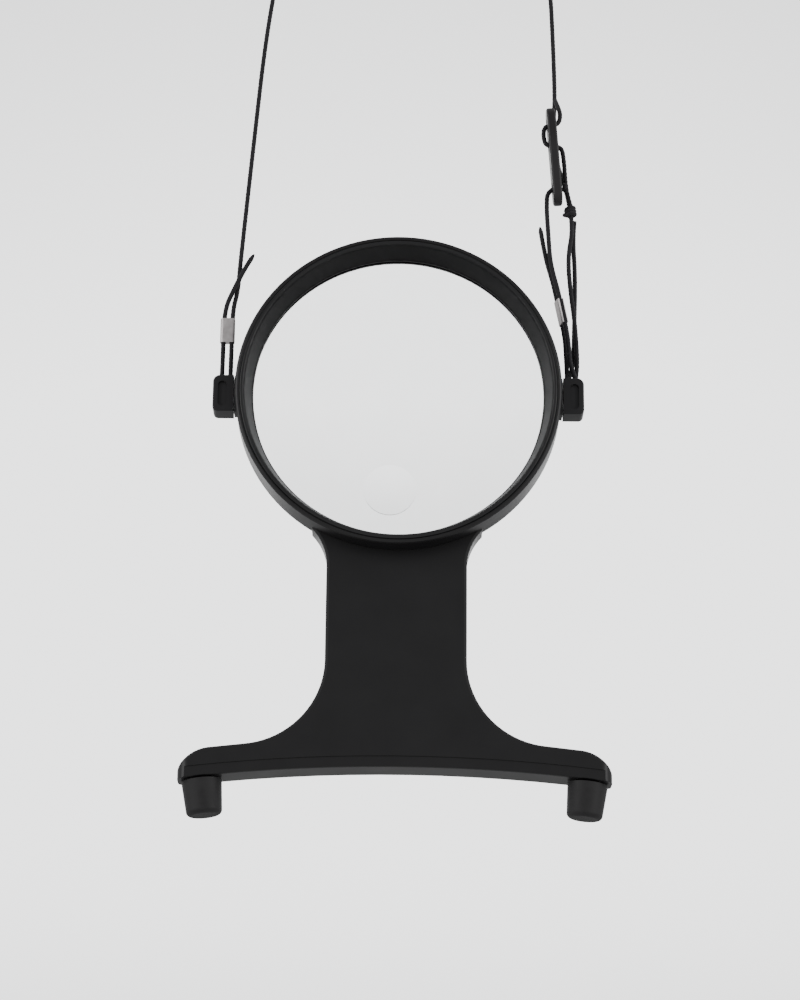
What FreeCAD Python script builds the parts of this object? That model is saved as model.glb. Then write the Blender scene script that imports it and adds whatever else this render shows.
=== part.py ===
"""Hands-free neck magnifier, hanging from its neck cord.

A round lens sits in a cup ring. Below the ring a neck widens into an arched bar whose two rubber
feet rest on the wearer's chest. A swivelling lug on each side of the ring holds the neck cord, and
a three-hole bar on the right-hand cord sets its length.

Millimetres. +X is to the right and +Y to the back as the wearer's work sees the lens, +Z is up.
Everything is drawn about the lens centre, with the hinge axis of the lugs in the plane y = 0, and
each piece is moved down by LENS_DROP as it is written, so the origin is inside the neck loop.
"""
import FreeCAD, Part
import math
import os

V = FreeCAD.Vector
X_DIR = V(1, 0, 0)
Y_DIR = V(0, 1, 0)
Z_DIR = V(0, 0, 1)

# Where things are held
LENS_DROP = 224.4            # from the inside of the neck loop down to the lens centre
FIXED_GAP = 0.02             # radial gap of a pin pressed into its own piece
RUNNING_GAP = 0.05           # radial gap of a pin that turns, and of cord in a sleeve
BODY_GAP = 0.35              # between faces that move past each other

# Ring, bezel and lens
RING_RADIUS = 59.9           # outside of the cup ring
RING_WALL = 1.6
RIM_Y = -9.3                 # front rim
BACK_Y = 5.8                 # back face of the ring
LIP_THICKNESS = 2.8          # rear lip that the lens rests on
LIP_RADIUS = 53.5            # opening behind the lens
SIGHT_RADIUS = 53.7          # opening in front of the lens
LENS_RADIUS = 55.0
LENS_EDGE = 2.4
LENS_FRONT_RISE = 8.6        # height of the lens's front dome above its edge
LENS_BACK_RISE = 0.5
SPOT_RADIUS = 9.5            # stronger spot moulded low on the back of the lens
SPOT_CENTRE = (-2.8, -35.8)  # x and z
SPOT_RISE = 0.45
BEZEL_CLEARANCE = 0.08
BEZEL_POCKET_RADIUS = 55.2   # recess in the bezel's back that takes the lens
SCREW_CIRCLE = 56.6
SCREW_RADIUS = 0.8
SCREW_LENGTH = 7.8
SCREW_HEAD_RADIUS = 1.35
SCREW_ANGLES = (45, 135, 225, 315)

# Neck and chest bar
PLATE_FRONT_Y = -0.5
BAR_BACK_Y = 13.5            # the bar is as deep as the feet; the neck tapers back to it
NECK_BACK_Y = 9.5            # where the neck meets the ring
TAPER_TOP_Z = -60.0
TAPER_END_Z = -123.0
PLATE_SKIN = 1.8
PLATE_WALL = 1.8
NECK_HALF = 25.4
NECK_TOP_Z = -65.5
EAR = ((31.0, -51.6), (27.6, -56.4))    # where the neck spreads out to meet the ring, x and z
FILLET_RADIUS = 31.0         # between the neck and the bar's arms
FILLET_TOP_Z = -100.7
ARM_SLOPE = 5.0              # degrees, the arms' top edges fall towards the feet
SHOULDER = ((66.3, -133.0), (72.4, -135.5))    # start and middle of the bar's rounded end, x and z
BAR_HALF = 76.9
BAR_SIDE_Z = -141.2          # where the rounded end meets the upright side
BAR_BOTTOM_Z = -139.6        # at the middle of the arch
ARCH_RADIUS = 615.0
STEP_HEIGHT = 3.9            # strip along the bar's lower edge, set back from the front face
STEP_DEPTH = 0.3
END_CORNER = 4.2             # radius of the bar's upright corners
RIB = 1.4                    # thickness of the ribs behind the plate
RIB_XS = (-58.0, -46.0, -34.0, -12.0, 0.0, 12.0, 34.0, 46.0, 58.0)
RIB_ZS = (-80.0, -96.0, -112.0, -128.0)
RIB_BACK_Y = 5.7
FRONT_EDGE_ROUND = 1.1

# Feet
FOOT_X = 68.4
FOOT_Y = (PLATE_FRONT_Y + BAR_BACK_Y) / 2
FOOT_TOP_Z = -144.1
FOOT_TILT = 6.4              # degrees, the feet lean in towards each other
FOOT_LENGTH = 12.4
FOOT_TOP_RADIUS = 7.2
FOOT_END_RADIUS = 6.3
FOOT_END_ROUND = 1.8
BOSS_RADIUS = 5.6
PEG_RADIUS = 3.2
PEG_LENGTH = 7.0

# Lugs and their pins
LUG_INNER_X = 60.6
LUG_OUTER_X = 68.2
LUG_TOP_Z = 5.9
LUG_BOTTOM_Z = -8.2
LUG_FRONT_Y = -4.6
LUG_BACK_Y = 4.0
LUG_INNER_WALL = 0.6
LUG_WALL = 0.8
LUG_FRONT_WALL = 1.4
LUG_FLOOR_Z = -6.6
LUG_TOP_ROUND = 2.6
LUG_BOTTOM_ROUND = 1.9
WINDOW_CENTRE = (64.7, -1.45)    # x and z
WINDOW_HALF_HEIGHT = 4.9
WINDOW_HALF_WIDTH = 1.6
WINDOW_DEPTH = 0.9
PAD_X = LUG_INNER_X - BODY_GAP
PIVOT_RADIUS = 1.3
PIVOT_HEAD_RADIUS = 1.8
PIVOT_HEAD = 0.6
ANCHOR_X = 63.75
ANCHOR_Z = 3.8
ANCHOR_RADIUS = 0.65
ANCHOR_FRONT_Y = -3.9        # the anchor pin's blind end

# Cord fittings
CORD_RADIUS = 0.9
SLEEVE_LENGTH = 9.5
SLEEVE_PITCH = 1.55          # half the distance between the two strands in a sleeve
SLEEVE_WALL = 0.35
SLEEVE_SEAM = 1.3            # open seam along one narrow side of a sleeve
LEFT_SLEEVE = V(-63.6, 0, 24.85)
RIGHT_SLEEVE = V(60.25, -1.0, 33.2)
RIGHT_SLEEVE_TILT = -11.0    # degrees from upright, top towards the lens
RIGHT_SLEEVE_SPIN = -75.0    # degrees about its own length, seam towards the front
BAR_CENTRE = V(58.15, -1.2, 96.65)
BAR_LEAN = -3.9              # degrees from upright, top towards the lens
ADJUSTER_LENGTH = 40.0
ADJUSTER_WIDTH = 9.0
ADJUSTER_THICKNESS = 3.4
ADJUSTER_EDGE_ROUND = 0.9
ADJUSTER_HOLES = (13.2, 4.3, -12.9)
ADJUSTER_HOLE_RADIUS = 1.15
FLARE = 1.4                  # how far each hole's mouth opens out
STOPPER_RADIUS = 1.75
KNOT_ABOVE = (63.5, 3.9, 83.0)    # the running strand's route either side of the knot
KNOT_BELOW = (65.2, 1.4, 68.0)
KNOT_CENTRE = (V(*KNOT_ABOVE) + V(*KNOT_BELOW)) * 0.5
KNOT_RADIUS = 1.65           # centre of the wrapped cord, round the running strand
KNOT_CORD_RADIUS = 0.7       # the cord is drawn thin where it is pulled tight
KNOT_TURNS = 3
KNOT_PITCH = 1.3

# Cord routes. The neck cord runs from its left tail through the left sleeve, round the left pin,
# over the neck, behind the adjuster, round the right pin and back up to the strand knot.
NECK_ROUTE = [
    (-54.55, -1.2, 55.4), (-57.4, -1.3, 50.6), (-61.6, -0.9, 41.6), (-65.15, 0, 33.35),
    (-65.15, 0, 16.35), (-65.2, 0, 9.0), (-65.35, 0, 2.877), (-63.75, 0, 1.953),
    (-62.15, 0, 2.877), (-62.1, 0, 9.0), (-62.05, 0, 16.35), (-62.05, 0, 33.35),
    (-60.3, 0.9, 41.4), (-59.6, 0.9, 56.0), (-48.9, 0, 192.3), (-27.7, 0, 218.3),
    (4.5, 0, 227.7), (36.3, 0, 217.2), (56.6, 0, 190.6), (59.1, 3.0, 126.0),
    (58.4, 5.0, 114.0), (58.8, 5.0, 100.0), (60.9, 4.6, 92.0), KNOT_ABOVE,
    KNOT_BELOW, (63.0, 0.6, 56.0), (63.9, 0.6, 42.0), (65.4, 0.6, 30.0),
    (66.3, 1.2, 14.0), (65.4, 1.4, 6.5), (65.35, 1.4, 2.877), (63.75, 1.4, 1.953),
    (62.15, 1.4, 2.877), (62.15, 1.45, 5.6), (64.8, 2.8, 13.0), (65.4, 3.0, 30.0),
    (65.9, 2.8, 50.0), (65.2, 3.4, 64.0), (65.9, 4.0, 72.2)]
TETHER_ROUTE = [
    (60.2, -1.2, 83.95), (55.5, -1.2, 83.3), (55.1, -1.4, 75.0), (55.7, -1.8, 64.0),
    (56.2, -2.1, 54.0), (57.6, -2.45, 47.0), (59.02, -2.5, 41.62), (62.27, -2.5, 24.93),
    (62.9, -2.5, 18.5), (63.2, -2.5, 12.0), (65.3, -2.0, 6.2), (65.35, -1.9, 2.877),
    (63.75, -1.9, 1.953), (62.15, -1.9, 2.877),
    (62.2, -1.2, 7.0), (61.9, 0.3, 18.5), (61.48, 0.5, 24.78), (58.23, 0.5, 41.46),
    (57.0, 0.3, 47.0), (54.4, -0.5, 56.0),
    (52.62, -0.7, 67.9)]
# The cord's stretch through the adjuster's two upper holes and down to the strand knot: across,
# depth and height on the bar.
WEAVE_ROUTE = [
    (2.9, 1.2, 24.0), (3.9, 0.3, 17.5), (2.6, 0, 13.2), (-2.6, 0, 13.2), (-3.5, 0, 8.8),
    (-2.6, 0, 4.3), (2.8, 0, 4.3), (3.6, 0.8, -0.5), (3.6, 2.75, -10.5), (4.0, 2.75, -14.5),
    (4.6, 1.5, -17.6)]


def moved(shape, x=0, y=0, z=0):
    copy = shape.copy()
    copy.translate(V(x, y, z))
    return copy


def mirrored(shape):
    return shape.mirror(V(0, 0, 0), X_DIR)


def turned(shape, centre, axis, degrees):
    copy = shape.copy()
    copy.rotate(centre, axis, degrees)
    return copy


def revolved(profile):
    """A solid turned about the lens axis from (radius, y) points."""
    wire = Part.makePolygon([V(r, y, 0) for r, y in profile + profile[:1]])
    return Part.Face(wire).revolve(V(0, 0, 0), Y_DIR, 360)


def prism(face, y_from, y_to):
    return moved(face, y=y_from).extrude(V(0, y_to - y_from, 0))


def stadium_bar(half_width, half_depth, z_from, z_to):
    """An upright bar with round sides: half_width along x, half_depth along y."""
    straight = half_width - half_depth
    height = z_to - z_from
    block = Part.makeBox(2 * straight, 2 * half_depth, height, V(-straight, -half_depth, z_from))
    for side in (-1, 1):
        end = Part.makeCylinder(half_depth, height, V(side * straight, 0, z_from), Z_DIR)
        block = block.fuse(end)
    return block.removeSplitter()


def plate_outline(inset=0.0):
    """The neck and chest bar seen from the front, as a face in the plane y = 0."""
    fillet = FILLET_RADIUS + inset
    fillet_x = NECK_HALF + FILLET_RADIUS
    neck_x = NECK_HALF - inset
    side_x = BAR_HALF - inset
    arch_z = BAR_BOTTOM_Z + inset
    arch_radius = ARCH_RADIUS + inset
    side_z = arch_z - arch_radius + math.sqrt(arch_radius ** 2 - side_x ** 2)

    def on_fillet(degrees):
        angle = math.radians(degrees)
        return V(fillet_x + fillet * math.cos(angle), 0, FILLET_TOP_Z + fillet * math.sin(angle))

    ear_top, ear_middle = [V(x - inset, 0, z) for x, z in EAR]
    neck_top = V(neck_x, 0, NECK_TOP_Z)
    shoulder, shoulder_middle = [V(x - 0.5 * inset, 0, z - 0.8 * inset) for x, z in SHOULDER]
    side_top = V(side_x, 0, BAR_SIDE_Z - 0.3 * inset)
    ring_z = ear_top.z + 5.5
    right = [
        Part.LineSegment(V(0, 0, ring_z), V(ear_top.x, 0, ring_z)),
        Part.LineSegment(V(ear_top.x, 0, ring_z), ear_top),
        Part.Arc(ear_top, ear_middle, neck_top),
        Part.LineSegment(neck_top, on_fillet(180)),
        Part.Arc(on_fillet(180), on_fillet(220), on_fillet(270 - ARM_SLOPE)),
        Part.LineSegment(on_fillet(270 - ARM_SLOPE), shoulder),
        Part.Arc(shoulder, shoulder_middle, side_top),
        Part.LineSegment(side_top, V(side_x, 0, side_z)),
    ]
    edges = [curve.toShape() for curve in right]
    edges += [mirrored(edge) for edge in edges]
    arch = Part.Arc(V(side_x, 0, side_z), V(0, 0, arch_z), V(-side_x, 0, side_z))
    edges.append(arch.toShape())
    return Part.Face(Part.Wire(Part.__sortEdges__(edges)))


def bar_plan(inset=0.0):
    """An upright block with the bar's plan, rounded at its corners and, past its back, open."""
    low = -200
    height = 160
    centre_x = BAR_HALF - END_CORNER
    corner_ys = (PLATE_FRONT_Y + END_CORNER, BAR_BACK_Y - END_CORNER)
    depth = BAR_BACK_Y - PLATE_FRONT_Y
    plan = Part.makeBox(2 * centre_x, depth + 1, height, V(-centre_x, PLATE_FRONT_Y, low))
    plan = plan.fuse(Part.makeBox(2 * (BAR_HALF - inset), depth - 2 * END_CORNER, height,
                                  V(inset - BAR_HALF, corner_ys[0], low)))
    for side in (-1, 1):
        for y in corner_ys:
            corner = Part.makeCylinder(END_CORNER - inset, height, V(side * centre_x, y, low), Z_DIR)
            plan = plan.fuse(corner)
    return plan


def behind_taper():
    """The space behind the neck, which is shallow at the ring and reaches the bar's full depth."""
    corners = [(NECK_BACK_Y, 0), (NECK_BACK_Y, TAPER_TOP_Z), (BAR_BACK_Y, TAPER_END_Z),
               (BAR_BACK_Y + 5, TAPER_END_Z), (BAR_BACK_Y + 5, 0)]
    wire = Part.makePolygon([V(-100, y, z) for y, z in corners + corners[:1]])
    return Part.Face(wire).extrude(V(200, 0, 0))


def arch_band(height):
    """Everything within height above the bar's arched lower edge."""
    centre = V(0, -20, BAR_BOTTOM_Z - ARCH_RADIUS)
    return Part.makeCylinder(ARCH_RADIUS + height, 40, centre, Y_DIR)


def foot_frame(shape):
    """Move a piece drawn pointing down from the origin to the right-hand foot's place."""
    return moved(turned(shape, V(0, 0, 0), Y_DIR, FOOT_TILT), FOOT_X, FOOT_Y, FOOT_TOP_Z)


def rounded_plate(radius):
    """The plate's outside, its front edge rounded in three steps."""
    sections = []
    for degrees in (0, 30, 60, 90):
        angle = math.radians(degrees)
        face = plate_outline(radius * (1 - math.sin(angle)))
        sections.append(moved(face, y=PLATE_FRONT_Y + radius * (1 - math.cos(angle))).OuterWire)
    front = Part.makeLoft(sections, True, True)
    return front.fuse(prism(plate_outline(), PLATE_FRONT_Y + radius, BAR_BACK_Y)).removeSplitter()


def make_plate():
    """The neck and bar: a skin with a wall round its edge, ribbed and open at the back."""
    outer = rounded_plate(FRONT_EDGE_ROUND).common(bar_plan())
    inside = prism(plate_outline(PLATE_WALL), PLATE_FRONT_Y + PLATE_SKIN, BAR_BACK_Y + 1)
    inside = inside.common(bar_plan(PLATE_WALL))
    depth = RIB_BACK_Y - PLATE_FRONT_Y
    ribs = [Part.makeBox(RIB, depth, 95, V(x - RIB / 2, PLATE_FRONT_Y, -150)) for x in RIB_XS]
    ribs += [Part.makeBox(150, depth, RIB, V(-75, PLATE_FRONT_Y, z)) for z in RIB_ZS]
    grid = ribs[0].multiFuse(ribs[1:])
    plate = outer.cut(inside.cut(grid)).cut(behind_taper())
    step = arch_band(STEP_HEIGHT).common(
        Part.makeBox(200, STEP_DEPTH, 60, V(-100, PLATE_FRONT_Y, -170)))
    return plate.cut(step)


def make_frame():
    lip_y = BACK_Y - LIP_THICKNESS
    inner = RING_RADIUS - RING_WALL
    cup = revolved([
        (inner, RIM_Y + 0.3), (inner + 0.3, RIM_Y), (RING_RADIUS - 0.9, RIM_Y),
        (RING_RADIUS - 0.3, RIM_Y + 0.25), (RING_RADIUS, RIM_Y + 0.9), (RING_RADIUS, BACK_Y - 1.0),
        (RING_RADIUS - 0.3, BACK_Y - 0.3), (RING_RADIUS - 1.0, BACK_Y),
        (LIP_RADIUS + 0.6, BACK_Y), (LIP_RADIUS, BACK_Y - 0.6), (LIP_RADIUS, lip_y),
        (inner, lip_y)])
    bowl = Part.makeCylinder(inner, 30, V(0, lip_y - 30, 0), Y_DIR)
    opening = Part.makeCylinder(LIP_RADIUS, 30, V(0, -10, 0), Y_DIR)
    behind = Part.makeCylinder(RING_RADIUS - FRONT_EDGE_ROUND, 30, V(0, BACK_Y, 0), Y_DIR)
    frame = cup.fuse(make_plate().cut(bowl).cut(opening).cut(behind))
    outline = prism(plate_outline(), PLATE_FRONT_Y, BAR_BACK_Y).common(bar_plan())
    boss = foot_frame(Part.makeCylinder(BOSS_RADIUS, 16, V(0, 0, 0), Z_DIR)).common(outline)
    peg = foot_frame(Part.makeCylinder(PEG_RADIUS, PEG_LENGTH + 3, V(0, 0, -PEG_LENGTH), Z_DIR))
    pad = Part.makeBox(PAD_X - inner + 1, LUG_BACK_Y - LUG_FRONT_Y, LUG_TOP_Z - LUG_BOTTOM_Z,
                       V(inner - 1, LUG_FRONT_Y, LUG_BOTTOM_Z))
    pad = pad.makeFillet(1.5, [e for e in pad.Edges if e.BoundBox.XLength > 2])
    pad = pad.cut(Part.makeCylinder(inner + 0.2, 30, V(0, -15, 0), Y_DIR))
    pivot = Part.makeCylinder(PIVOT_RADIUS + FIXED_GAP, 10, V(inner - 2, 0, 0), X_DIR)
    for part in (boss, peg, pad):
        frame = frame.fuse(part).fuse(mirrored(part))
    frame = frame.cut(pivot).cut(mirrored(pivot))
    for x, z in screw_places():
        hole = Part.makeCylinder(SCREW_RADIUS + RUNNING_GAP, 10, V(x, 0, z), Y_DIR)
        sink = Part.makeCylinder(SCREW_HEAD_RADIUS + RUNNING_GAP, 2, V(x, BACK_Y - 0.8, z), Y_DIR)
        frame = frame.cut(hole).cut(sink)
    return frame.removeSplitter()


def screw_places():
    for degrees in SCREW_ANGLES:
        angle = math.radians(degrees)
        yield SCREW_CIRCLE * math.cos(angle), SCREW_CIRCLE * math.sin(angle)


def make_bezel():
    """The front ring that drops into the cup, slopes in to the lens and traps its edge."""
    outer = RING_RADIUS - RING_WALL - BEZEL_CLEARANCE
    lip_y = BACK_Y - LIP_THICKNESS
    seat_y = lip_y - LENS_EDGE
    bezel = revolved([
        (outer - 0.35, RIM_Y), (outer, RIM_Y + 0.35), (outer, lip_y), (BEZEL_POCKET_RADIUS, lip_y),
        (BEZEL_POCKET_RADIUS, seat_y), (SIGHT_RADIUS, seat_y), (SIGHT_RADIUS, seat_y - 0.8),
        (SIGHT_RADIUS + 0.5, seat_y - 1.6), (56.2, RIM_Y + 1.2), (56.6, RIM_Y + 0.4),
        (57.0, RIM_Y)])
    for x, z in screw_places():
        hole = Part.makeCylinder(SCREW_RADIUS + FIXED_GAP, SCREW_LENGTH, V(x, BACK_Y, z), V(0, -1, 0))
        bezel = bezel.cut(hole)
    return bezel


def dome(radius, rise, y, outwards):
    """A spherical cap of this edge radius and rise, its flat face at y."""
    sphere_radius = (radius ** 2 + rise ** 2) / (2 * rise)
    centre_y = y + outwards * (rise - sphere_radius)
    ball = Part.makeSphere(sphere_radius, V(0, centre_y, 0))
    low = min(y, y + outwards * (rise + 1))
    slab = Part.makeCylinder(radius, rise + 1, V(0, low, 0), Y_DIR)
    return ball.common(slab)


def make_lens():
    back = BACK_Y - LIP_THICKNESS
    front = back - LENS_EDGE
    lens = Part.makeCylinder(LENS_RADIUS, LENS_EDGE, V(0, front, 0), Y_DIR)
    lens = lens.fuse(dome(SIGHT_RADIUS - 0.2, LENS_FRONT_RISE, front, -1))
    lens = lens.fuse(dome(LIP_RADIUS - 0.2, LENS_BACK_RISE, back, 1))
    spot_x, spot_z = SPOT_CENTRE
    spot = dome(SPOT_RADIUS, SPOT_RISE, 0, 1)
    spot = spot.fuse(Part.makeCylinder(SPOT_RADIUS, 3, V(0, -3, 0), Y_DIR))
    return lens.fuse(moved(spot, spot_x, back + 0.45, spot_z)).removeSplitter()


def make_screws():
    solids = []
    for x, z in screw_places():
        shank = Part.makeCylinder(SCREW_RADIUS, SCREW_LENGTH - 1, V(x, BACK_Y, z), V(0, -1, 0))
        head = Part.makeCylinder(SCREW_HEAD_RADIUS, 0.7, V(x, BACK_Y - 0.75, z), Y_DIR)
        slot = Part.makeBox(2.0, 0.4, 0.4, V(x - 1.0, BACK_Y - 0.4, z - 0.2))
        cross = Part.makeBox(0.4, 0.4, 2.0, V(x - 0.2, BACK_Y - 0.4, z - 1.0))
        bottom = Part.makeBox(4, 4, 4, V(x - 2, BACK_Y - 0.75, z - 2))
        solids.append(shank.cut(bottom).fuse(head).cut(slot).cut(cross).removeSplitter())
    return Part.makeCompound(solids)


def make_foot():
    cone = Part.makeCone(FOOT_END_RADIUS, FOOT_TOP_RADIUS, FOOT_LENGTH, V(0, 0, -FOOT_LENGTH), Z_DIR)
    edge = [e for e in cone.Edges if abs(e.BoundBox.ZMax + FOOT_LENGTH) < 1e-6]
    cone = cone.makeFillet(FOOT_END_ROUND, edge)
    peg_hole = Part.makeCylinder(PEG_RADIUS + FIXED_GAP, PEG_LENGTH + 0.3,
                                 V(0, 0, -PEG_LENGTH - 0.3), Z_DIR)
    return foot_frame(cone.cut(peg_hole))


def make_lug():
    """A hollow lug, open at the top for the cord and with a blind window in its front."""
    width = LUG_OUTER_X - LUG_INNER_X
    depth = LUG_BACK_Y - LUG_FRONT_Y
    lug = Part.makeBox(width, depth, LUG_TOP_Z - LUG_BOTTOM_Z, V(LUG_INNER_X, LUG_FRONT_Y, LUG_BOTTOM_Z))
    for z, radius in ((LUG_TOP_Z, LUG_TOP_ROUND), (LUG_BOTTOM_Z, LUG_BOTTOM_ROUND)):
        corner = [e for e in lug.Edges if e.BoundBox.YLength > 2
                  and abs(e.BoundBox.XMin - LUG_OUTER_X) < 1e-6 and abs(e.BoundBox.ZMin - z) < 1e-6]
        lug = lug.makeFillet(radius, corner)
    front_edges = [e for e in lug.Edges if abs(e.BoundBox.YMax - LUG_FRONT_Y) < 1e-6
                   and e.BoundBox.XMax > LUG_INNER_X + 0.1]
    lug = lug.makeFillet(0.6, front_edges)
    cavity = Part.makeBox(width - LUG_INNER_WALL - LUG_WALL, depth - LUG_FRONT_WALL - LUG_WALL, 30,
                          V(LUG_INNER_X + LUG_INNER_WALL, LUG_FRONT_Y + LUG_FRONT_WALL, LUG_FLOOR_Z))
    window_x, window_z = WINDOW_CENTRE
    window = stadium_bar(WINDOW_HALF_HEIGHT, WINDOW_HALF_WIDTH, -WINDOW_DEPTH, WINDOW_DEPTH)
    window = turned(turned(window, V(0, 0, 0), X_DIR, -90), V(0, 0, 0), Y_DIR, 90)
    window = moved(window, window_x, LUG_FRONT_Y, window_z)
    pivot = Part.makeCylinder(PIVOT_RADIUS + RUNNING_GAP, 3, V(LUG_INNER_X - 1, 0, 0), X_DIR)
    anchor = Part.makeCylinder(ANCHOR_RADIUS + FIXED_GAP, 20,
                               V(ANCHOR_X, ANCHOR_FRONT_Y - 0.05, ANCHOR_Z), Y_DIR)
    return lug.cut(cavity).cut(window).cut(pivot).cut(anchor).removeSplitter()


def make_pivot_pin():
    start = RING_RADIUS - RING_WALL + 0.3
    head_x = LUG_INNER_X + LUG_INNER_WALL + RUNNING_GAP
    shank = Part.makeCylinder(PIVOT_RADIUS, head_x - start, V(start, 0, 0), X_DIR)
    head = Part.makeCylinder(PIVOT_HEAD_RADIUS, PIVOT_HEAD, V(head_x, 0, 0), X_DIR)
    return shank.fuse(head)


def make_anchor_pin():
    length = LUG_BACK_Y - ANCHOR_FRONT_Y - 0.1
    return Part.makeCylinder(ANCHOR_RADIUS, length, V(ANCHOR_X, ANCHOR_FRONT_Y, ANCHOR_Z), Y_DIR)


def make_sleeve(centre, lean, spin):
    """A metal sleeve crimped round two strands of cord, with an open seam on one narrow side."""
    half = SLEEVE_LENGTH / 2
    outer = stadium_bar(SLEEVE_PITCH + CORD_RADIUS + SLEEVE_WALL, CORD_RADIUS + SLEEVE_WALL, -half, half)
    for side in (-1, 1):
        bore = Part.makeCylinder(CORD_RADIUS + RUNNING_GAP, SLEEVE_LENGTH + 2,
                                 V(side * SLEEVE_PITCH, 0, -half - 1), Z_DIR)
        outer = outer.cut(bore)
    seam = Part.makeBox(5, SLEEVE_SEAM, SLEEVE_LENGTH + 2,
                        V(SLEEVE_PITCH, -SLEEVE_SEAM / 2, -half - 1))
    sleeve = turned(outer.cut(seam), V(0, 0, 0), Z_DIR, spin)
    return moved(turned(sleeve, V(0, 0, 0), Y_DIR, lean), centre.x, centre.y, centre.z)


def on_bar(shape):
    """Move a piece drawn about the adjuster's centre, upright, to its place on the cord."""
    leaning = turned(shape, V(0, 0, 0), Y_DIR, BAR_LEAN)
    return moved(leaning, BAR_CENTRE.x, BAR_CENTRE.y, BAR_CENTRE.z)


def make_adjuster():
    half = ADJUSTER_LENGTH / 2
    bar = stadium_bar(half, ADJUSTER_WIDTH / 2, -ADJUSTER_THICKNESS / 2, ADJUSTER_THICKNESS / 2)
    bar = bar.makeFillet(ADJUSTER_EDGE_ROUND, [e for e in bar.Edges if e.BoundBox.ZLength < 1e-6])
    bar = turned(bar, V(0, 0, 0), Y_DIR, 90)
    for height in ADJUSTER_HOLES:
        hole = Part.makeCylinder(ADJUSTER_HOLE_RADIUS, 10, V(-5, 0, height), X_DIR)
        bar = bar.cut(hole)
        for side in (-1, 1):
            flare = Part.makeCone(ADJUSTER_HOLE_RADIUS, ADJUSTER_HOLE_RADIUS + FLARE, FLARE,
                                  V(side * (ADJUSTER_THICKNESS / 2 - FLARE + 0.2), 0, height),
                                  V(side, 0, 0))
            bar = bar.cut(flare)
    return on_bar(bar)


def make_strand_knot():
    """The neck cord's end, wrapped tight round its own running strand."""
    rings = []
    for index in range(KNOT_TURNS):
        z = (index - (KNOT_TURNS - 1) / 2) * KNOT_PITCH
        rings.append(Part.makeTorus(KNOT_RADIUS, KNOT_CORD_RADIUS, V(0, 0, z), Z_DIR))
    knot = rings[0].multiFuse(rings[1:])
    strand = V(*KNOT_ABOVE) - V(*KNOT_BELOW)
    knot = turned(knot, V(0, 0, 0), Z_DIR.cross(strand), math.degrees(Z_DIR.getAngle(strand)))
    return moved(knot, KNOT_CENTRE.x, KNOT_CENTRE.y, KNOT_CENTRE.z)


def make_stopper_knot():
    """The tether's end, knotted on the outside of the adjuster's lowest hole."""
    knot = Part.makeSphere(STOPPER_RADIUS).fuse(
        Part.makeCylinder(CORD_RADIUS, 1.6, V(-1.9, 0, 0), X_DIR))
    knot = knot.cut(Part.makeBox(4, 8, 8, V(-5.35, -4, -4)))
    return on_bar(moved(knot, ADJUSTER_THICKNESS / 2 + 1.5, 0, ADJUSTER_HOLES[2]))


def route_path(points):
    """Straight runs joined by arcs, each arc as large as its two runs allow."""
    points = [V(*p) for p in points]
    edges = []
    start = points[0]
    radii = []
    for before, corner, after in zip(points, points[1:], points[2:]):
        run_in = corner - before
        run_out = after - corner
        half_turn = run_in.getAngle(run_out) / 2
        reach = 0.45 * min(run_in.Length, run_out.Length)
        radius = reach / math.tan(half_turn)
        first = corner - run_in.normalize() * reach
        last = corner + run_out.normalize() * reach
        bisector = ((first + last) * 0.5 - corner).normalize()
        middle = corner + bisector * (radius / math.cos(half_turn) - radius)
        edges.append(Part.LineSegment(start, first).toShape())
        edges.append(Part.Arc(first, middle, last).toShape())
        radii.append(radius)
        start = last
    edges.append(Part.LineSegment(start, points[-1]).toShape())
    return Part.Wire(edges), radii


def make_cord(name, points):
    path, radii = route_path(points)
    start = V(*points[0])
    profile = Part.Wire([Part.makeCircle(CORD_RADIUS, start, V(*points[1]) - start)])
    tube = path.makePipeShell([profile], True, True)
    if tube.Volume < 0:
        tube.reverse()
    expected = math.pi * CORD_RADIUS ** 2 * path.Length
    print(name, "length", round(path.Length, 1), "volume ratio", round(tube.Volume / expected, 4),
          "valid", tube.isValid(), "radii", [round(r, 1) for r in radii])
    return tube


def write(name, shape):
    moved(shape, z=-LENS_DROP).exportStep("parts/" + name + ".step")


def main():
    os.makedirs("parts", exist_ok=True)
    write("frame", make_frame())
    write("bezel", make_bezel())
    write("lens", make_lens())
    write("bezel_screws", make_screws())
    for name, piece in (("foot", make_foot()), ("lug", make_lug()),
                        ("pivot_pin", make_pivot_pin()), ("anchor_pin", make_anchor_pin())):
        write(name + "_right", piece)
        write(name + "_left", mirrored(piece))
    write("ferrule_left", make_sleeve(LEFT_SLEEVE, 0, 0))
    write("ferrule_right", make_sleeve(RIGHT_SLEEVE, RIGHT_SLEEVE_TILT, RIGHT_SLEEVE_SPIN))
    write("adjuster_bar", make_adjuster())
    write("stopper_knot", make_stopper_knot())
    write("neck_cord", make_cord("neck_cord", NECK_ROUTE))
    write("tether", make_cord("tether", TETHER_ROUTE))
    write("adjuster_weave", on_bar(make_cord("adjuster_weave", WEAVE_ROUTE)))
    write("strand_knot", make_strand_knot())


main()
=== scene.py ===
"""Looks of the hands-free neck magnifier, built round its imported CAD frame.

Metres and degrees, +X right, +Y back, +Z up, with the origin inside the top of the neck cord.
"""

import math

import bpy
import bmesh
import numpy as np
from mathutils import Matrix, Vector


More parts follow.
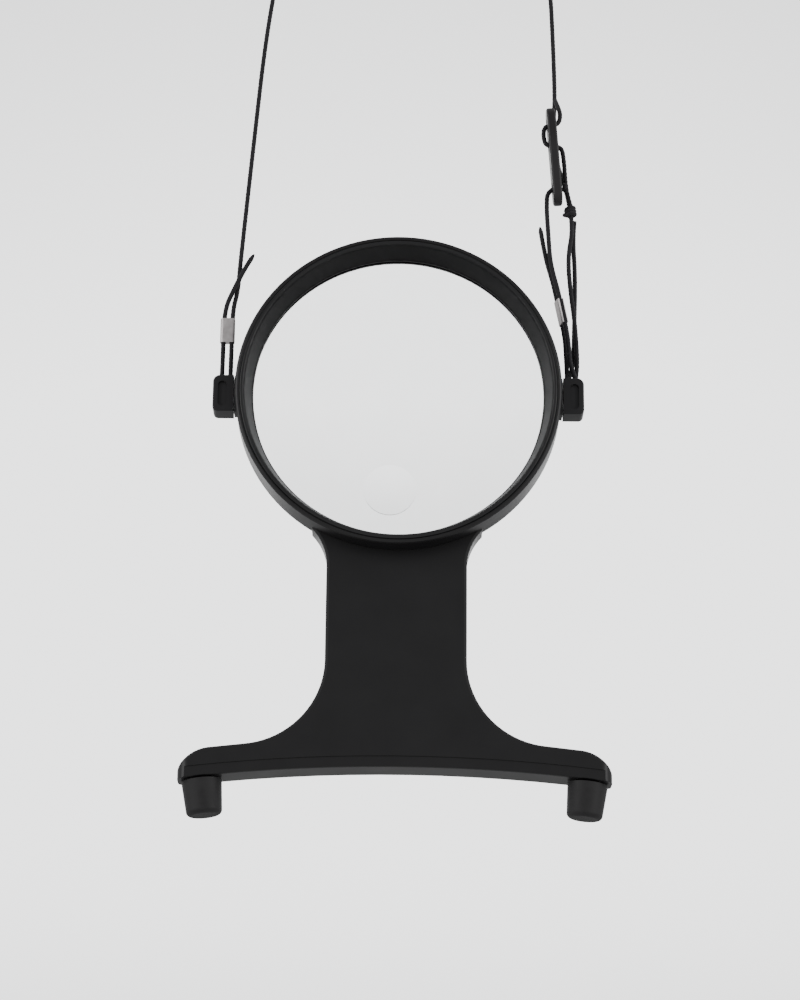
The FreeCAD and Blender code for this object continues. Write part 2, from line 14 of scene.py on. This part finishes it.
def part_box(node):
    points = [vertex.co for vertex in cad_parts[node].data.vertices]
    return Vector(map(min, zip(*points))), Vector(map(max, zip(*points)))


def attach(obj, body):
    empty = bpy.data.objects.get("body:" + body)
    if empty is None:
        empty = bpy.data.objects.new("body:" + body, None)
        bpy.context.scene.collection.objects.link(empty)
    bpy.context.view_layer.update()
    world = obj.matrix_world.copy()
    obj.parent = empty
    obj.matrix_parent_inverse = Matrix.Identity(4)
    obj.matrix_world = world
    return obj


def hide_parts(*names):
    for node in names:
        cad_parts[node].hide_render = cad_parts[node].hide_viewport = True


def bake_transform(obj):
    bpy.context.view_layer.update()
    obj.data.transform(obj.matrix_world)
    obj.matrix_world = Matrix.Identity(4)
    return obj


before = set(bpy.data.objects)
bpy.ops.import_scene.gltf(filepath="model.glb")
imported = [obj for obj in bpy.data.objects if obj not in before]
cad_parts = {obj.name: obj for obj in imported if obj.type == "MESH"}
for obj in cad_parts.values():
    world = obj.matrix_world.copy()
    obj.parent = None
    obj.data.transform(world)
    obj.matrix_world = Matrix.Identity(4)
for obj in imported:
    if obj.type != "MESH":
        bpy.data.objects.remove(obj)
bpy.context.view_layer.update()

lens_low, lens_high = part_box("lens")
frame_low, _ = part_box("frame")
bar_low, bar_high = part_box("adjuster_bar")
LENS_Z = (lens_low.z + lens_high.z) / 2

# Camera: it stands below the lens and looks up, tipped a little less than the line to the lens.
CAMERA_DISTANCE = 1.0
LENS_ELEVATION = 20.5
AXIS_ELEVATION = 18.247
CAMERA_ROLL = -0.55
CAMERA_FOCAL = 97.8          # millimetres, as is the sensor's width
CAMERA_SENSOR = 36
CAMERA_AIM_X = 0.00095
CAMERA_AIM_BEHIND_RIM = 0.0068

# Light: the world's level above the horizon, from in front of the lens (0) to behind it (1)
WORLD_STRENGTH = 2.75
WORLD_STEPS = ((0.0, 0.13), (0.3, 0.145), (0.5, 0.19), (0.75, 0.22), (0.9, 0.40), (0.965, 1.0))
WORLD_LOW = 0.45             # its level below the horizon
WORLD_TINT = (0.99, 0.995, 1)
HORIZON_FADE = (-0.05, 0.2)  # the heights between which the low level gives way
SOFTBOX_POWER = 3.0
SOFTBOX_SIZE = (0.25, 0.6)
SOFTBOX_X = 0.9
SOFTBOX_Y = -0.53
SOFTBOX_TARGET = (0, 0, -0.35)

# Cord
CORD_DIAMETER = 0.0018
CORD_RADIUS = CORD_DIAMETER / 2
BRAID_STRANDS = 4
BRAID_LEAD = 0.0064
BRAID_STEP = 0.0002
BRAID_SIDES = 24
BRAID_CORE = 0.8             # share of the cord's radius that is solid under the strands
BRAID_RELIEF = 0.22          # share that a strand's crown stands above it
STRAND_HEIGHT = 0.72
CROSSING_HEIGHT = 0.28       # how far a strand rises over the one it crosses
CUT_LENGTH = 0.0022          # a cut end narrows over this length
CUT_START = 0.0001
CUT_SHARE = 0.05             # least share of the radius squared at the very end
ROUTE_RESOLUTION = 24

# Routes about the lens centre's height, as in the CAD source.
KNOT_ABOVE = (0.0635, 0.0039, 0.0830)
KNOT_BELOW = (0.0652, 0.0014, 0.0680)
NECK_ROUTE = [
    (-0.05455, -0.0012, 0.0554), (-0.0574, -0.0013, 0.0506), (-0.0616, -0.0009, 0.0416),
    (-0.06515, 0, 0.03335), (-0.06515, 0, 0.01635), (-0.0652, 0, 0.0090), (-0.06535, 0, 0.002877),
    (-0.06375, 0, 0.001953), (-0.06215, 0, 0.002877), (-0.0621, 0, 0.0090),
    (-0.06205, 0, 0.01635), (-0.06205, 0, 0.03335), (-0.0603, 0.0009, 0.0414),
    (-0.0596, 0.0009, 0.0560), (-0.0489, 0, 0.1923), (-0.0277, 0, 0.2183), (0.0045, 0, 0.2277),
    (0.0363, 0, 0.2172), (0.0566, 0, 0.1906), (0.0591, 0.0030, 0.1260), (0.0584, 0.0050, 0.1140),
    (0.0588, 0.0050, 0.1000), (0.0609, 0.0046, 0.0920), KNOT_ABOVE,
    KNOT_BELOW, (0.0630, 0.0006, 0.0560), (0.0639, 0.0006, 0.0420), (0.0654, 0.0006, 0.0300),
    (0.0663, 0.0012, 0.0140), (0.0654, 0.0014, 0.0065), (0.06535, 0.0014, 0.002877),
    (0.06375, 0.0014, 0.001953), (0.06215, 0.0014, 0.002877), (0.06215, 0.00145, 0.0056),
    (0.0648, 0.0028, 0.0130), (0.0654, 0.0030, 0.0300), (0.0659, 0.0028, 0.0500),
    (0.0652, 0.0034, 0.0640), (0.0659, 0.0040, 0.0722)]
TETHER_ROUTE = [
    (0.0602, -0.0012, 0.08395), (0.0555, -0.0012, 0.0833), (0.0551, -0.0014, 0.0750),
    (0.0557, -0.0018, 0.0640), (0.0562, -0.0021, 0.0540), (0.0576, -0.00245, 0.0470),
    (0.05902, -0.0025, 0.04162), (0.06227, -0.0025, 0.02493), (0.0629, -0.0025, 0.0185),
    (0.0632, -0.0025, 0.0120), (0.0653, -0.0020, 0.0062), (0.06535, -0.0019, 0.002877),
    (0.06375, -0.0019, 0.001953), (0.06215, -0.0019, 0.002877), (0.0622, -0.0012, 0.0070),
    (0.0619, 0.0003, 0.0185), (0.06148, 0.0005, 0.02478), (0.05823, 0.0005, 0.04146),
    (0.0570, 0.0003, 0.0470), (0.0544, -0.0005, 0.0560), (0.05262, -0.0007, 0.0679)]
# Heights of the adjuster's holes about the bar's centre
UPPER_HOLE = 0.0132
MIDDLE_HOLE = 0.0043
LOWER_HOLE = -0.0129
# The weave through the adjuster, in two pieces: across, depth and height about the bar's centre.
WEAVE_TOP_ROUTE = [
    (0.0026, 0.0046, 0.0259), (0.0031, 0.0018, 0.0222), (0.0039, 0.0003, 0.0175),
    (0.0026, 0, UPPER_HOLE), (-0.0026, 0, UPPER_HOLE), (-0.0035, 0, 0.0088),
    (-0.0026, 0, MIDDLE_HOLE), (0.0010, 0, MIDDLE_HOLE)]
WEAVE_LOW_ROUTE = [
    (0.0002, 0, MIDDLE_HOLE), (0.0030, 0, MIDDLE_HOLE), (0.0037, 0.0006, -0.0005),
    (0.0037, 0.0027, -0.0105), (0.0042, 0.0031, -0.0155), (0.0052, 0.0036, -0.0200)]

# Tied knots
KNOT_TURNS = 2.6
KNOT_START_ANGLE = 0.9       # radians, before the strand's right side
KNOT_RADIUS = 0.00165
KNOT_HALF_LENGTH = 0.0017
KNOT_CORD_RADIUS = 0.00075
KNOT_WRAP_STEPS = 89
RETURN_STEPS = 25            # the stretch that goes back over the turns
RETURN_ANGLE = 1.9           # radians
RETURN_SWELL = 0.0009
RETURN_LIFT = 2.2            # half lengths that it climbs
SWELL_PACE = 1.15
STOPPER_SPREAD = 0.00042
STOPPER_STRETCH = 1.1
STOPPER_STEPS = 90
STOPPER_GAP = (0.35, 0.1)    # radians left open at the start and the end of the knot
STOPPER_CENTRE = (0.0032, 0, LOWER_HOLE)

# Bezel profile from its front to its back: radius and y
BEZEL_PROFILE = [
    (0.05787, -0.0093), (0.05822, -0.00895), (0.05822, 0.0030), (0.0552, 0.0030),
    (0.0552, 0.0006), (0.0537, 0.0006), (0.0537, -0.0002), (0.0542, -0.0010),
    (0.0562, -0.0081), (0.0566, -0.0089), (0.0570, -0.0093)]
BEZEL_SIDES = 256
BEZEL_EDGE = 0.0002
EDGE_ROUND = 0.00025         # on the CAD nodes' edges
SMALL_EDGE_ROUND = 0.0001    # on the metal parts' and the lens's
BAR_LEAN = -3.9              # the adjuster bar's lean from upright


# ---------------------------------------------------------------- cords

def at_lens(point):
    """A place given about the lens centre's height."""
    return Vector((point[0], point[1], point[2] + LENS_Z))


def on_bar(point):
    """A place given about the adjuster bar's centre, along its lean."""
    centre = (bar_low + bar_high) / 2
    return centre + Matrix.Rotation(math.radians(BAR_LEAN), 3, "Y") @ Vector(point)


def spline_points(route):
    """Points along the smooth NURBS line that a route's points control."""
    data = bpy.data.curves.new("route", "CURVE")
    data.dimensions = "3D"
    data.resolution_u = ROUTE_RESOLUTION
    spline = data.splines.new("NURBS")
    spline.points.add(len(route) - 1)
    for point, place in zip(spline.points, route):
        point.co = (*place, 1)
    spline.order_u = 3
    spline.use_endpoint_u = True
    holder = bpy.data.objects.new("route", data)
    bpy.context.scene.collection.objects.link(holder)
    bpy.context.view_layer.update()
    mesh = bpy.data.meshes.new_from_object(holder)
    points = np.array([v.co for v in mesh.vertices])
    bpy.data.objects.remove(holder)
    bpy.data.meshes.remove(mesh)
    bpy.data.curves.remove(data)
    return points


def even_points(points, step):
    """The same line with points every step along it, and how far along each one is."""
    lengths = np.linalg.norm(np.diff(points, axis=0), axis=1)
    keep = np.concatenate([[True], lengths > 1e-9])
    points = points[keep]
    along = np.concatenate([[0], np.cumsum(np.linalg.norm(np.diff(points, axis=0), axis=1))])
    places = np.linspace(0, along[-1], max(2, round(along[-1] / step)) + 1)
    line = np.stack([np.interp(places, along, points[:, axis]) for axis in range(3)], axis=1)
    return line, places


def carried_frames(line):
    """Normal and binormal along a line, the normal carried without twist."""
    tangents = np.gradient(line, axis=0)
    tangents /= np.linalg.norm(tangents, axis=1)[:, None]
    normal = np.cross(tangents[0], (0.3, 0.9, 0.2))
    normals = []
    for tangent in tangents:
        normal = normal - tangent * (normal @ tangent)
        normal /= np.linalg.norm(normal)
        normals.append(normal)
    normals = np.array(normals)
    return normals, np.cross(tangents, normals)


def braid_height(angle, along):
    """Height of a round plain braid's surface, 0 to 1, at an angle round it and a place along it."""
    turn = BRAID_STRANDS * angle / (2 * math.pi)
    rise = BRAID_STRANDS * along / BRAID_LEAD
    left, right = turn + rise, turn - rise

    def crown(phase):
        return np.sqrt(1 - 0.95 * (2 * np.abs(phase - np.round(phase))) ** 2)

    weave = CROSSING_HEIGHT * np.cos(math.pi * left) * np.cos(math.pi * right)
    return np.maximum(STRAND_HEIGHT * crown(left) + weave, STRAND_HEIGHT * crown(right) - weave)


def end_taper(places, start, end):
    """Scale of the cord's radius along it: a cut end is drawn in over its last millimetres."""
    scale = np.ones_like(places)
    total = places[-1]
    if start:
        scale *= np.sqrt(np.clip((places + CUT_START) / CUT_LENGTH, CUT_SHARE, 1))
    if end:
        scale *= np.sqrt(np.clip((total - places + CUT_START) / CUT_LENGTH, CUT_SHARE, 1))
    return scale


def grid_mesh(name, rings, capped=True):
    """A mesh over an array of rings, each an equal count of points."""
    count, sides = rings.shape[:2]
    verts = rings.reshape(-1, 3)
    ring_index = np.arange(count - 1)[:, None] * sides
    side = np.arange(sides)[None, :]
    after = (side + 1) % sides
    quads = np.stack([ring_index + side, ring_index + after, ring_index + sides + after,
                      ring_index + sides + side], axis=-1).reshape(-1, 4)
    faces = quads.tolist()
    if capped:
        faces.append(list(range(sides))[::-1])
        faces.append(list(range((count - 1) * sides, count * sides)))
    mesh = bpy.data.meshes.new(name)
    mesh.from_pydata(verts.tolist(), [], faces)
    mesh.update()
    return mesh


def add_piece(name, mesh, material):
    """A new smooth piece from a mesh, its faces turned outwards."""
    piece = bpy.data.objects.new(name, mesh)
    bpy.context.scene.collection.objects.link(piece)
    mesh.materials.append(material)
    mesh.polygons.foreach_set("use_smooth", [True] * len(mesh.polygons))
    tidy = bmesh.new()
    tidy.from_mesh(mesh)
    bmesh.ops.recalc_face_normals(tidy, faces=tidy.faces)
    tidy.to_mesh(mesh)
    tidy.free()
    return piece


def braided_cord(name, line, material, radius=CORD_RADIUS, cut_start=False, cut_end=False):
    """A round braided cord along a line of points, and the line as evenly spaced points."""
    line, places = even_points(line, BRAID_STEP)
    normals, binormals = carried_frames(line)
    angles = np.linspace(0, 2 * math.pi, BRAID_SIDES, endpoint=False)
    height = braid_height(angles[None, :], places[:, None])
    taper = end_taper(places, cut_start, cut_end)[:, None]
    reach = radius * (BRAID_CORE + BRAID_RELIEF * height) * taper
    rings = (line[:, None, :] + reach[:, :, None]
             * (np.cos(angles)[None, :, None] * normals[:, None, :]
                + np.sin(angles)[None, :, None] * binormals[:, None, :]))
    return add_piece(name, grid_mesh(name, rings), material), line


def lathe(name, profile, material, sides):
    """A ring turned about the lens axis from a closed profile of (radius, y) points."""
    angles = np.linspace(0, 2 * math.pi, sides, endpoint=False)
    outline = np.array(profile)
    rings = np.stack([np.outer(np.cos(angles), outline[:, 0]),
                      np.broadcast_to(outline[:, 1], (sides, len(profile))),
                      LENS_Z + np.outer(np.sin(angles), outline[:, 0])], axis=-1)
    rings = np.concatenate([rings, rings[:1]])
    mesh = grid_mesh(name, rings, capped=False)
    tidy = bmesh.new()
    tidy.from_mesh(mesh)
    bmesh.ops.remove_doubles(tidy, verts=tidy.verts, dist=1e-7)
    tidy.to_mesh(mesh)
    tidy.free()
    return add_piece(name, mesh, material)


def tied_round(above, below):
    """The line of a cord wrapped round a strand and brought back over its own turns."""
    axis = (below - above).normalized()
    right = (Vector((1, 0, 0)) - axis * axis.x).normalized()
    front = axis.cross(right)
    if front.y > 0:
        front.negate()
    centre = (above + below) / 2
    places = []
    for step in range(KNOT_WRAP_STEPS + 1):
        share = step / KNOT_WRAP_STEPS
        angle = 2 * math.pi * KNOT_TURNS * share - KNOT_START_ANGLE
        height = KNOT_HALF_LENGTH * (1 - 2 * share)
        places.append((KNOT_RADIUS, angle, height))
    last = places[-1][1]
    for step in range(1, RETURN_STEPS + 1):
        share = step / RETURN_STEPS
        swell = math.sin(math.pi * min(1, SWELL_PACE * share))
        places.append((KNOT_RADIUS + RETURN_SWELL * swell, last + RETURN_ANGLE * share,
                       -KNOT_HALF_LENGTH * (1 - RETURN_LIFT * share)))
    return np.array([centre - axis * height + radius * (math.cos(angle) * right
                                                        + math.sin(angle) * front)
                     for radius, angle, height in places])


def overhand(centre, spread):
    """The line of a small overhand knot, pulled tight."""
    turns = np.linspace(STOPPER_GAP[0], 2 * math.pi - STOPPER_GAP[1], STOPPER_STEPS)
    return np.stack([centre.x - STOPPER_STRETCH * spread * np.sin(3 * turns),
                     centre.y + spread * (np.cos(turns) - 2 * np.cos(2 * turns)),
                     centre.z + spread * (np.sin(turns) + 2 * np.sin(2 * turns))], axis=1)


# ---------------------------------------------------------------- materials

def node_material(name):
    """A new material with its nodes, its links and its shader."""
    material = bpy.data.materials.new(name)
    material.use_nodes = True
    nodes = material.node_tree.nodes
    return material, nodes, material.node_tree.links, nodes["Principled BSDF"]


def add_noise(nodes, links, scale, detail=4.0, roughness=0.5):
    """Noise fixed to the piece, at a scale per metre."""
    place = nodes.new("ShaderNodeTexCoord")
    noise = nodes.new("ShaderNodeTexNoise")
    noise.inputs["Scale"].default_value = scale
    noise.inputs["Detail"].default_value = detail
    noise.inputs["Roughness"].default_value = roughness
    links.new(place.outputs["Object"], noise.inputs["Vector"])
    return noise


def mapped(nodes, links, source, low, high):
    """A noise's middle range spread from a low value to a high one."""
    ramp = nodes.new("ShaderNodeMapRange")
    ramp.inputs["From Min"].default_value = 0.3
    ramp.inputs["From Max"].default_value = 0.7
    ramp.inputs["To Min"].default_value = low
    ramp.inputs["To Max"].default_value = high
    links.new(source, ramp.inputs["Value"])
    return ramp.outputs["Result"]


def colour_between(nodes, links, source, low, high):
    """A noise's middle range spread from one colour to another."""
    ramp = nodes.new("ShaderNodeValToRGB")
    ramp.color_ramp.elements[0].position = 0.3
    ramp.color_ramp.elements[1].position = 0.7
    ramp.color_ramp.elements[0].color = (*low, 1)
    ramp.color_ramp.elements[1].color = (*high, 1)
    links.new(source, ramp.inputs["Fac"])
    return ramp.outputs["Color"]


def add_bump(nodes, links, shader, source, strength, distance):
    """Fine relief on a shader's surface."""
    bump = nodes.new("ShaderNodeBump")
    bump.inputs["Strength"].default_value = strength
    bump.inputs["Distance"].default_value = distance
    links.new(source, bump.inputs["Height"])
    links.new(bump.outputs["Normal"], shader.inputs["Normal"])


def plastic(name, dark, light, rough_low, rough_high, grain=0.00004):
    """Moulded black plastic: a fine spark-eroded grain, with slow changes of gloss and tone."""
    material, nodes, links, shader = node_material(name)
    slow = add_noise(nodes, links, 60)
    fine = add_noise(nodes, links, 2600, detail=3)
    links.new(colour_between(nodes, links, slow.outputs["Fac"], dark, light),
              shader.inputs["Base Color"])
    links.new(mapped(nodes, links, slow.outputs["Fac"], rough_low, rough_high),
              shader.inputs["Roughness"])
    add_bump(nodes, links, shader, fine.outputs["Fac"], 0.35, grain)
    return material


def rubber(name):
    """Dull black rubber with a coarse, dusty grain."""
    material, nodes, links, shader = node_material(name)
    slow = add_noise(nodes, links, 220)
    fine = add_noise(nodes, links, 4200, detail=5, roughness=0.7)
    links.new(colour_between(nodes, links, slow.outputs["Fac"], (0.016, 0.015, 0.016),
                             (0.030, 0.029, 0.030)), shader.inputs["Base Color"])
    links.new(mapped(nodes, links, slow.outputs["Fac"], 0.55, 0.7), shader.inputs["Roughness"])
    add_bump(nodes, links, shader, fine.outputs["Fac"], 0.5, 0.00005)
    return material


def cord_fabric(name):
    """Black textile with a slight sheen and stray fibres."""
    material, nodes, links, shader = node_material(name)
    slow = add_noise(nodes, links, 400)
    fibre = add_noise(nodes, links, 9000, detail=6, roughness=0.7)
    links.new(colour_between(nodes, links, slow.outputs["Fac"], (0.007, 0.006, 0.008),
                             (0.016, 0.014, 0.019)), shader.inputs["Base Color"])
    links.new(mapped(nodes, links, fibre.outputs["Fac"], 0.6, 0.85), shader.inputs["Roughness"])
    shader.inputs["Sheen Weight"].default_value = 0.15
    add_bump(nodes, links, shader, fibre.outputs["Fac"], 0.6, 0.00004)
    return material


def metal(name, dark, light, rough_low, rough_high):
    """Bare metal, handled: its tone and gloss change in small patches."""
    material, nodes, links, shader = node_material(name)
    shader.inputs["Metallic"].default_value = 1.0
    slow = add_noise(nodes, links, 500, detail=5)
    fine = add_noise(nodes, links, 5000, detail=3)
    links.new(colour_between(nodes, links, slow.outputs["Fac"], dark, light),
              shader.inputs["Base Color"])
    links.new(mapped(nodes, links, slow.outputs["Fac"], rough_low, rough_high),
              shader.inputs["Roughness"])
    add_bump(nodes, links, shader, fine.outputs["Fac"], 0.3, 0.00003)
    return material


def clear_acrylic(name):
    """Clear plastic, with faint smears in its gloss and tint."""
    material, nodes, links, shader = node_material(name)
    shader.inputs["Transmission Weight"].default_value = 1.0
    shader.inputs["IOR"].default_value = 1.49
    smear = add_noise(nodes, links, 90, detail=3)
    links.new(colour_between(nodes, links, smear.outputs["Fac"], (0.95, 0.96, 0.96),
                             (0.98, 0.985, 0.985)), shader.inputs["Base Color"])
    links.new(mapped(nodes, links, smear.outputs["Fac"], 0.0, 0.02), shader.inputs["Roughness"])
    return material


frame_black = plastic("frame_black", (0.0115, 0.011, 0.012), (0.0145, 0.014, 0.015), 0.40, 0.46)
bezel_black = plastic("bezel_black", (0.016, 0.016, 0.017), (0.020, 0.020, 0.021), 0.36, 0.42)
lug_black = plastic("lug_black", (0.011, 0.010, 0.012), (0.017, 0.016, 0.018), 0.38, 0.5)
adjuster_black = plastic("adjuster_black", (0.018, 0.016, 0.018), (0.030, 0.027, 0.029), 0.35, 0.5)
foot_rubber = rubber("foot_rubber")
cord_black = cord_fabric("cord_black")
steel = metal("pin_steel", (0.42, 0.42, 0.43), (0.58, 0.58, 0.58), 0.25, 0.4)
screw_steel = metal("screw_steel", (0.20, 0.20, 0.21), (0.34, 0.34, 0.35), 0.3, 0.45)
aluminium = metal("ferrule_aluminium", (0.66, 0.62, 0.62), (0.82, 0.78, 0.78), 0.45, 0.6)
acrylic = clear_acrylic("lens_acrylic")


# ---------------------------------------------------------------- CAD nodes that stay

def soften(piece, edge):
    """Round a piece's sharp edges and shade the rest smooth."""
    bevel = piece.modifiers.new("edges", "BEVEL")
    bevel.width = edge
    bevel.segments = 2
    bevel.limit_method = "ANGLE"
    bevel.angle_limit = math.radians(30)
    bevel.use_clamp_overlap = True
    piece.data.polygons.foreach_set("use_smooth", [True] * len(piece.data.polygons))
    normals = piece.modifiers.new("normals", "WEIGHTED_NORMAL")
    normals.keep_sharp = False


def dress(node, material, edge=EDGE_ROUND):
    """Give a CAD node its material and soften its edges."""
    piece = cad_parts[node]
    piece.data.materials.clear()
    piece.data.materials.append(material)
    flat = piece.modifiers.new("flats", "DECIMATE")
    flat.decimate_type = "DISSOLVE"
    flat.angle_limit = math.radians(0.5)
    soften(piece, edge)


def make_camera():
    """Below the lens and in front of it, with the top of the neck loop out of the picture."""
    data = bpy.data.cameras.new("camera")
    data.lens = CAMERA_FOCAL
    data.sensor_width = CAMERA_SENSOR
    camera = bpy.data.objects.new("camera", data)
    bpy.context.scene.collection.objects.link(camera)
    centre = Vector((CAMERA_AIM_X, frame_low.y + CAMERA_AIM_BEHIND_RIM, LENS_Z))
    rise, axis = math.radians(LENS_ELEVATION), math.radians(AXIS_ELEVATION)
    camera.location = centre - CAMERA_DISTANCE * Vector((0, math.cos(rise), math.sin(rise)))
    look = Vector((0, math.cos(axis), math.sin(axis)))
    camera.rotation_mode = "QUATERNION"
    turn = look.to_track_quat("-Z", "Y")
    roll = Matrix.Rotation(math.radians(CAMERA_ROLL), 3, look).to_quaternion()
    camera.rotation_quaternion = roll @ turn
    bpy.context.scene.camera = camera


def make_cords():
    """The neck cord, the tether and the weave as braids, with their two knots."""
    knot, _ = braided_cord("strand_knot_tied", tied_round(at_lens(KNOT_ABOVE), at_lens(KNOT_BELOW)),
                           cord_black, radius=KNOT_CORD_RADIUS)
    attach(knot, "harness")
    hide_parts("strand_knot")
    neck, neck_line = braided_cord("neck_cord_braid", spline_points([at_lens(p) for p in NECK_ROUTE]),
                                   cord_black, cut_start=True)
    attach(neck, "harness")
    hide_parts("neck_cord")

    stopper, _ = braided_cord("stopper_knot_tied", overhand(on_bar(STOPPER_CENTRE), STOPPER_SPREAD),
                              cord_black, radius=KNOT_CORD_RADIUS)
    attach(stopper, "adjuster")
    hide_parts("stopper_knot")
    tether, tether_line = braided_cord("tether_braid",
                                       spline_points([at_lens(p) for p in TETHER_ROUTE]),
                                       cord_black, cut_end=True)
    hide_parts("tether")
    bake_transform(tether)

    top, _ = braided_cord("weave_top_braid", spline_points([on_bar(p) for p in WEAVE_TOP_ROUTE]),
                          cord_black)
    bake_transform(top)
    low, _ = braided_cord("weave_low_braid", spline_points([on_bar(p) for p in WEAVE_LOW_ROUTE]),
                          cord_black)
    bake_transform(low)
    for piece in (top, low):
        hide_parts("adjuster_weave")


def make_bezel():
    """The bezel as a smooth ring; its slope and lip show in the picture."""
    bezel = lathe("bezel_ring", BEZEL_PROFILE, bezel_black, BEZEL_SIDES)
    soften(bezel, BEZEL_EDGE)
    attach(bezel, "magnifier")
    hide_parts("bezel")


def make_world():
    """A bright wall behind the lens, and a dimmer studio in front of it and below."""
    world = bpy.data.worlds.new("studio")
    bpy.context.scene.world = world
    world.use_nodes = True
    nodes = world.node_tree.nodes
    links = world.node_tree.links
    place = nodes.new("ShaderNodeTexCoord")
    split = nodes.new("ShaderNodeSeparateXYZ")
    links.new(place.outputs["Generated"], split.inputs[0])
    depth = nodes.new("ShaderNodeMapRange")
    depth.inputs["From Min"].default_value = -1
    depth.inputs["From Max"].default_value = 1
    links.new(split.outputs["Y"], depth.inputs["Value"])
    ramp = nodes.new("ShaderNodeValToRGB")
    elements = ramp.color_ramp.elements
    while len(elements) < len(WORLD_STEPS):
        elements.new(0.5)
    for element, (position, level) in zip(elements, WORLD_STEPS):
        element.position = position
        element.color = (level, level, level, 1)
    links.new(depth.outputs["Result"], ramp.inputs["Fac"])
    above = nodes.new("ShaderNodeMath")
    above.operation = "MULTIPLY"
    above.inputs[1].default_value = WORLD_STRENGTH
    links.new(ramp.outputs["Color"], above.inputs[0])
    height = nodes.new("ShaderNodeMapRange")
    height.interpolation_type = "SMOOTHSTEP"
    height.inputs["From Min"].default_value = HORIZON_FADE[0]
    height.inputs["From Max"].default_value = HORIZON_FADE[1]
    height.inputs["To Min"].default_value = WORLD_LOW
    links.new(above.outputs["Value"], height.inputs["To Max"])
    links.new(split.outputs["Z"], height.inputs["Value"])
    background = nodes["Background"]
    background.inputs["Color"].default_value = (*WORLD_TINT, 1)
    links.new(height.outputs["Result"], background.inputs["Strength"])


def add_softbox(name, place):
    """A rectangular lamp at a place, turned towards the plate."""
    data = bpy.data.lights.new(name, "AREA")
    data.shape = "RECTANGLE"
    data.size, data.size_y = SOFTBOX_SIZE
    data.energy = SOFTBOX_POWER
    lamp = bpy.data.objects.new(name, data)
    bpy.context.scene.collection.objects.link(lamp)
    lamp.location = place
    towards = Vector(SOFTBOX_TARGET) - Vector(place)
    lamp.rotation_euler = towards.to_track_quat("-Z", "Y").to_euler()


make_camera()
make_cords()
make_bezel()
dress("frame", frame_black)
for name in ("lug_left", "lug_right"):
    dress(name, lug_black)
for name in ("foot_left", "foot_right"):
    dress(name, foot_rubber)
for name in ("ferrule_left", "ferrule_right"):
    dress(name, aluminium, SMALL_EDGE_ROUND)
for name in ("pivot_pin_left", "pivot_pin_right", "anchor_pin_left", "anchor_pin_right"):
    dress(name, steel, SMALL_EDGE_ROUND)
dress("bezel_screws", screw_steel, SMALL_EDGE_ROUND)
dress("adjuster_bar", adjuster_black)
dress("lens", acrylic, SMALL_EDGE_ROUND)
make_world()
add_softbox("softbox_left", (-SOFTBOX_X, SOFTBOX_Y, 0))
add_softbox("softbox_right", (SOFTBOX_X, SOFTBOX_Y, 0))
